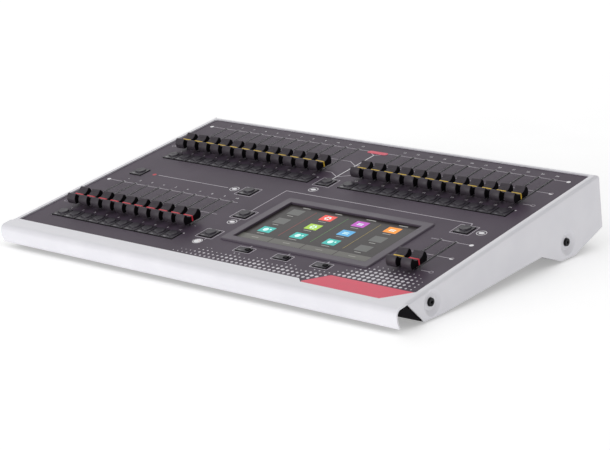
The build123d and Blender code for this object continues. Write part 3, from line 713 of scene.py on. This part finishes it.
def arc(a, b, c, count):
    """Points on the circle through a, b and c, from a to c, without a."""
    (x1, y1), (x2, y2), (x3, y3) = a, b, c
    d = 2 * (x1 * (y2 - y3) + x2 * (y3 - y1) + x3 * (y1 - y2))
    p, q, r = x1 * x1 + y1 * y1, x2 * x2 + y2 * y2, x3 * x3 + y3 * y3
    ux = (p * (y2 - y3) + q * (y3 - y1) + r * (y1 - y2)) / d
    uy = (p * (x3 - x2) + q * (x1 - x3) + r * (x2 - x1)) / d
    start, mid, end = (math.atan2(y - uy, x - ux) for x, y in (a, b, c))
    sweep = (end - start) % (2 * math.pi)
    if not (mid - start) % (2 * math.pi) < sweep:
        sweep -= 2 * math.pi
    radius = math.hypot(x1 - ux, y1 - uy)
    return [
        (ux + radius * math.cos(start + sweep * i / count), uy + radius * math.sin(start + sweep * i / count))
        for i in range(1, count + 1)
    ]


def cap_profile():
    """Side profile (s, h): convex ends, two humps, and a dished finger rest with grip ribs."""
    bulge_s, bulge_h = CAP_BULGE
    points = [(-CAP_FOOT, CAP_UNDER), (CAP_FOOT, CAP_UNDER)]
    points += arc((CAP_FOOT, CAP_UNDER), (bulge_s, bulge_h), (RIM_OUT, CAP_RIM), 10)
    points += arc((RIM_OUT, CAP_RIM), (RIM_MID, CAP_TOP), (RIM_IN, CAP_RIM), 5)
    dish = [(RIM_IN, CAP_RIM)] + arc((RIM_IN, CAP_RIM), (0, CAP_VALLEY), (-RIM_IN, CAP_RIM), 60)
    centre = Vector((0, CAP_VALLEY + DISH_R))
    for s, h in dish[1:-1]:
        groove = 0.0
        if RIB_FIRST < abs(s) < RIB_LAST:
            wave = math.sin((abs(s) - RIB_FIRST) / RIB_PITCH * 2 * math.pi)
            groove = RIB_DEPTH * max(0.0, wave) ** 0.5
        away = (Vector((s, h)) - centre).normalized()
        points.append((s + away.x * groove, h + away.y * groove))
    points.append((-RIM_IN, CAP_RIM))
    points += arc((-RIM_IN, CAP_RIM), (-RIM_MID, CAP_TOP), (-RIM_OUT, CAP_RIM), 5)
    points += arc((-RIM_OUT, CAP_RIM), (-bulge_s, bulge_h), (-CAP_FOOT, CAP_UNDER), 10)[:-1]
    return points


def cap_mesh(name, line_material):
    """One cap on its lever, about the panel frame's origin."""
    bm = bmesh.new()
    outline_points = cap_profile()
    rings = []
    # each end is eased in three steps: (distance in from the end, inset of the profile)
    steps = ((0, CAP_EASE), (0.15, 0.15), (CAP_EASE, 0))
    slices = [(edge - CAP_HALF, inset) for edge, inset in steps]
    slices += [(CAP_HALF - edge, inset) for edge, inset in reversed(steps)]
    for x, inset in slices:
        ring = []
        for i, p in enumerate(outline_points):
            before, after = outline_points[i - 1], outline_points[(i + 1) % len(outline_points)]
            along = Vector((after[0] - before[0], after[1] - before[1])).normalized()
            inward = Vector((-along.y, along.x))
            q = Vector(p) + inward * inset
            ring.append(bm.verts.new((x, q.x, q.y)))
        rings.append(ring)
    for a, b in zip(rings, rings[1:]):
        for i in range(len(a)):
            j = (i + 1) % len(a)
            bm.faces.new((a[i], a[j], b[j], b[i]))
    # both flat sides are in the painted-shade material
    for ring in (rings[0][::-1], rings[-1]):
        bm.faces.new(ring).material_index = 1
    # coloured line across the valley and down both sides
    half, proud = 0.85, 0.05    # half the line's width, and how far it stands out at the sides
    for low, high, x0, x1 in (
        (CAP_VALLEY - 0.4, CAP_VALLEY + 0.1, -CAP_HALF + 0.3, CAP_HALF - 0.3),
        (CAP_UNDER + 0.8, CAP_VALLEY - 0.2, CAP_HALF - 0.4, CAP_HALF + proud),
        (CAP_UNDER + 0.8, CAP_VALLEY - 0.2, -CAP_HALF - proud, -CAP_HALF + 0.4),
    ):
        prism(bm, [(x0, -half), (x1, -half), (x1, half), (x0, half)], low, high, 2)
    # the steel lever below, down through the slot
    prism(bm, rounded(0, 0, 1.2, 3.0, 0.3, 2), -7.6, CAP_UNDER + 0.5, 3)
    bmesh.ops.recalc_face_normals(bm, faces=bm.faces)
    mesh = bpy.data.meshes.new(name)
    bm.to_mesh(mesh)
    bm.free()
    for m in (CAP, CAP_SIDE_SHADE, line_material, LEVER):
        mesh.materials.append(m)
    mesh.transform(PANEL.to_3x3().to_4x4() @ Matrix.Scale(MM, 4))
    mesh.shade_smooth()
    mesh.set_sharp_from_angle(angle=math.radians(40))
    return mesh


yellow_cap = cap_mesh("cap_yellow", YELLOW_LINE)
red_cap = cap_mesh("cap_red", RED_LINE)
fader_places = (
    [(f"channel_fader_{i + 1:02d}", p, yellow_cap) for i, p in enumerate(upper_left + upper_right)]
    + [(f"playback_fader_{i + 1:02d}", p, red_cap) for i, p in enumerate(playbacks)]
    + [("master_fader_1", masters[0], yellow_cap), ("master_fader_2", masters[1], red_cap)]
)
for name, (x, s), mesh in fader_places:
    piece = bpy.data.objects.new(name + "_cap", mesh)
    piece.location = PANEL @ Vector((x * MM, s * MM, 0))
    bpy.context.scene.collection.objects.link(piece)
    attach(piece, name)
    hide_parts(name)

# ---------------------------------------------------------------- keys


def stacked(bm, outlines, materials):
    """A closed shape through level outlines [(points, height)], each with as many points."""
    rings = [[bm.verts.new((x, s, h)) for x, s in points] for points, h in outlines]
    bm.faces.new(rings[0][::-1]).material_index = materials[0]
    for (a, b), m in zip(zip(rings, rings[1:]), materials):
        for i in range(len(a)):
            j = (i + 1) % len(a)
            bm.faces.new((a[i], a[j], b[j], b[i])).material_index = m
    bm.faces.new(rings[-1]).material_index = materials[-1]


KEY_FACE, KEY_LOW = 0.9, -1.6   # top and underside of a key's tile
PAD_R = 5.6                     # the round finger pad
PAD_UP_SLOPE = 1.6
BLOCK_X, BLOCK_S, BLOCK_W, BLOCK_L = 4.4, 0.6, 4.6, 4.2
for name in KEY_NODES:
    bm = bmesh.new()
    soft = name == "soft_keys"
    for (x, s), (x0, x1, s0, s1, low, high) in key_places[name]:
        width, length = x1 - x0, s1 - s0
        # the tile's sides, below its rounded top edge, are near-black painted shade
        stacked(
            bm,
            [
                (rounded(x, s, width, length, 0.5), KEY_LOW),
                (rounded(x, s, width, length, 0.5), KEY_FACE - 0.35),
                (rounded(x, s, width - 0.25, length - 0.25, 0.45), KEY_FACE - 0.1),
                (rounded(x, s, width - 0.7, length - 0.7, 0.4), KEY_FACE),
            ],
            [1, 1, 0, 0],
        )
        stem = ring_of(x, s, 1.8, count=16)
        stacked(bm, [(stem, low), (stem, KEY_LOW + 0.1)], [1, 1])
        if soft:
            pad = [
                (rounded(x + BLOCK_X, s + BLOCK_S, BLOCK_W - less, BLOCK_L - less, r), h)
                for less, r, h in ((0.0, 0.5, KEY_FACE - 0.1), (0.1, 0.5, high - 0.3), (0.5, 0.4, high))
            ]
            # the soft key's block is all near-black: painted shade on its walls, and on its top the block's
            # darker plastic
            stacked(bm, pad, [1, 1, 1])
        else:
            # sloping sides, a rounded rim and a shallow dish
            pad_levels = (
                (PAD_R, KEY_FACE - 0.1),
                (PAD_R, KEY_FACE + 0.05),
                (PAD_R - 0.3, high - 0.42),
                (PAD_R - 0.5, high - 0.12),
                (PAD_R - 0.85, high),
                (PAD_R - 3.0, high - 0.25),
            )
            pad = [(ring_of(x, s + PAD_UP_SLOPE, r, count=40), h) for r, h in pad_levels]
            stacked(bm, pad, [0] * len(pad))
        # the indicator's lens, and beside it a small dark dot of painted shade standing for a moulded dimple
        stacked(
            bm,
            [
                (rounded(x - 3.4, s0 + 1.8, 3.4, 1.4, 0.3, 2), KEY_FACE - 0.2),
                (rounded(x - 3.4, s0 + 1.8, 3.2, 1.2, 0.3, 2), KEY_FACE + 0.08),
            ],
            [2, 2],
        )
        if not soft:
            # painted shade: the dimple is a dark dot on the key's face
            stacked(
                bm,
                [
                    (ring_of(x + 3.8, s0 + 1.9, 0.75, count=12), KEY_FACE - 0.2),
                    (ring_of(x + 3.8, s0 + 1.9, 0.65, count=12), KEY_FACE + 0.05),
                ],
                [1, 1],
            )
    looks = [KEY_TOP, KEY_PAINTED_SHADE, KEY_WINDOW]
    piece = finish_piece(name + "_caps", bm, looks, name, PANEL_MM, 28)
    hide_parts(name)

# ---------------------------------------------------------------- the display's picture

glass = solids("touch_glass")[0]
glass_top = glass[5]
# the glass lies below the panel: the picture is set over, to look in place from the front right
picture_x = middle([glass])[0] + 1.65 * glass_top
picture_s = middle([glass])[1] - 1.84 * glass_top
LAYER = 0.03


def screen_layer(name, dark, light, glow, shapes, level=1):
    """Flat shapes of the picture, each an outline about the middle of the screen."""
    layer = Print(glass_top - 0.02, glass_top + LAYER * level)
    for shape in shapes:
        layer.fill([(picture_x + x, picture_s + s) for x, s in shape])
    layer.piece(name, picture(name, dark, light, glow), "screen_glass")


def patch(x, s, width, length, radius=0.6):
    return rounded(x, s, width, length, radius, 2)


ICON_XS = (-56.8, -19.0, 18.7, 55.0)
ICON_SS = (26.0, 4.6, -16.6)
ICON_W, ICON_L = 14.3, 11.7
ICON_TONES = {
    "teal": (linear(46, 168, 160), linear(60, 182, 173)),
    "red": (linear(222, 66, 58), linear(234, 80, 70)),
    "lime": (linear(150, 190, 52), linear(164, 204, 66)),
    "purple": (linear(176, 70, 178), linear(188, 84, 190)),
    "blue": (linear(76, 158, 208), linear(90, 172, 220)),
    "orange": (linear(236, 140, 34), linear(246, 152, 48)),
    "grey": (linear(98, 99, 97), linear(106, 107, 105)),
}
ICON_GRID = (
    ("grey", "red", "purple", "orange"),
    ("grey", "lime", "blue", "grey"),
    ("teal", "teal", "teal", "grey"),
)
icons = {tone: [] for tone in ICON_TONES}
for row, tones in zip(ICON_SS, ICON_GRID):
    for column, tone in zip(ICON_XS, tones):
        icons[tone].append((column, row))
for tone, places in icons.items():
    glow = 0.12 if tone == "grey" else 0.42
    screen_layer("icons_" + tone, *ICON_TONES[tone], glow, [patch(x, s, ICON_W, ICON_L) for x, s in places])

light_marks, bars = [], []
for tone, places in icons.items():
    for x, s in places:
        bars.append(patch(x, s - 8.9, 9.0 if tone != "grey" else 7.0, 0.9, 0.3))
        if tone == "grey":
            continue
        if tone in ("red", "lime"):
            for k in range(6):
                a = math.radians(60 * k)
                light_marks.append(ring_of(x + 2.6 * math.cos(a), s + 2.6 * math.sin(a), 1.15, count=12))
        elif tone == "teal":
            light_marks.append(ring_of(x - 1.2, s, 2.7, 3.1, count=20))
            light_marks.append(ring_of(x + 3.6, s + 1.2, 1.1, count=12))
        else:
            light_marks.append(patch(x, s + 1.1, 6.4, 1.3, 0.4))
            light_marks.append(patch(x, s - 1.4, 6.4, 1.3, 0.4))
screen_layer("icon_marks", linear(196, 228, 224), linear(210, 238, 234), 0.5, light_marks, 2)
screen_layer("icon_labels", linear(150, 150, 146), linear(166, 166, 162), 0.25, bars)
screen_layer(
    "screen_headings",
    linear(176, 176, 172),
    linear(192, 192, 188),
    0.3,
    [patch(x + 4, 37.2, w, 1.1, 0.3) for x, w in zip(ICON_XS, (9.0, 8.0, 11.0, 10.0))],
)
separators = {
    "red": (-37.4, linear(150, 56, 52), linear(162, 66, 62)),
    "green": (0.0, linear(84, 140, 70), linear(96, 152, 82)),
    "yellow": (37.2, linear(160, 140, 60), linear(172, 152, 72)),
}
for tone, (x, dark, light) in separators.items():
    screen_layer("separator_" + tone, dark, light, 0.15, [patch(x, 4.5, 0.5, 57.0, 0.2)])
BUTTON_XS = [-55.8 + 37.2 * i for i in range(4)]
BUTTON_S = -34.6
screen_layer(
    "status_bar",
    linear(96, 95, 90),
    linear(102, 101, 96),
    0.15,
    [patch(x, BUTTON_S, 36.2, 9.4, 0.5) for x in BUTTON_XS],
)
screen_layer(
    "status_marks",
    linear(140, 139, 132),
    linear(152, 151, 144),
    0.2,
    [patch(x, BUTTON_S, 8.0, 1.0, 0.3) for x in BUTTON_XS],
    2,
)

# ---------------------------------------------------------------- room, light and camera

floor_mesh = bmesh.new()
prism(floor_mesh, [(-6, -6), (6, -6), (6, 6), (-6, 6)], -0.02, 0.0)
mesh = bpy.data.meshes.new("floor")
floor_mesh.to_mesh(mesh)
floor_mesh.free()
floor = bpy.data.objects.new("floor", mesh)
bpy.context.scene.collection.objects.link(floor)
paper = Shader("floor_paper")
tone = paper.noise(120.0, 2.0)
mesh.materials.append(
    paper.set(
        Base_Color=paper.ramp(tone, (0.92, 0.92, 0.92), (0.94, 0.94, 0.94)),
        Roughness=paper.span(tone, 0.85, 0.95),
        Emission_Color=(1.0, 1.0, 1.0),
        Emission_Strength=0.34,
    )
)

world = bpy.data.worlds.new("studio")
world.use_nodes = True
# dim near the horizon and bright overhead, as under one large soft box
height = world.node_tree.nodes.new("ShaderNodeTexCoord")
parts = world.node_tree.nodes.new("ShaderNodeSeparateXYZ")
fade = world.node_tree.nodes.new("ShaderNodeMapRange")
fade.inputs["From Min"].default_value = 0.15
fade.inputs["From Max"].default_value = 0.85
fade.inputs["To Min"].default_value = 0.30
fade.inputs["To Max"].default_value = 0.76
world.node_tree.links.new(height.outputs["Generated"], parts.inputs[0])
world.node_tree.links.new(parts.outputs["Z"], fade.inputs["Value"])
world.node_tree.nodes["Background"].inputs["Color"].default_value = (1.0, 1.0, 1.0, 1)
world.node_tree.links.new(fade.outputs["Result"], world.node_tree.nodes["Background"].inputs["Strength"])
bpy.context.scene.world = world


def soft_light(name, place, target, size, power):
    data = bpy.data.lights.new(name, "AREA")
    data.shape, data.size, data.size_y = "RECTANGLE", size[0], size[1]
    data.energy = power
    light = bpy.data.objects.new(name, data)
    light.location = place
    light.rotation_mode = "QUATERNION"
    light.rotation_quaternion = (Vector(target) - Vector(place)).to_track_quat("-Z", "Y")
    bpy.context.scene.collection.objects.link(light)


soft_light("key", (-0.25, -2.5, 0.55), (0, 0, 0.02), (1.6, 0.7), 22)
soft_light("rear_left", (-1.6, 1.5, 1.2), (0, 0.05, 0.04), (1.8, 1.0), 5)

camera_data = bpy.data.cameras.new("camera")
camera_data.sensor_width = 36.0
camera_data.lens = 114.57
camera_data.clip_start, camera_data.clip_end = 0.05, 50
camera = bpy.data.objects.new("camera", camera_data)
RIGHT = Vector((0.77082, 0.63630, -0.03104)).normalized()
AHEAD = Vector((-0.61998, 0.73807, -0.26624)).normalized()
UPWARD = RIGHT.cross(AHEAD)
turn = Matrix((RIGHT, UPWARD, -AHEAD)).transposed().to_4x4()
camera.matrix_world = Matrix.Translation((1.14275, -1.34800, 0.50895)) @ turn
bpy.context.scene.collection.objects.link(camera)
bpy.context.scene.camera = camera
bpy.context.scene.view_settings.view_transform = "Standard"
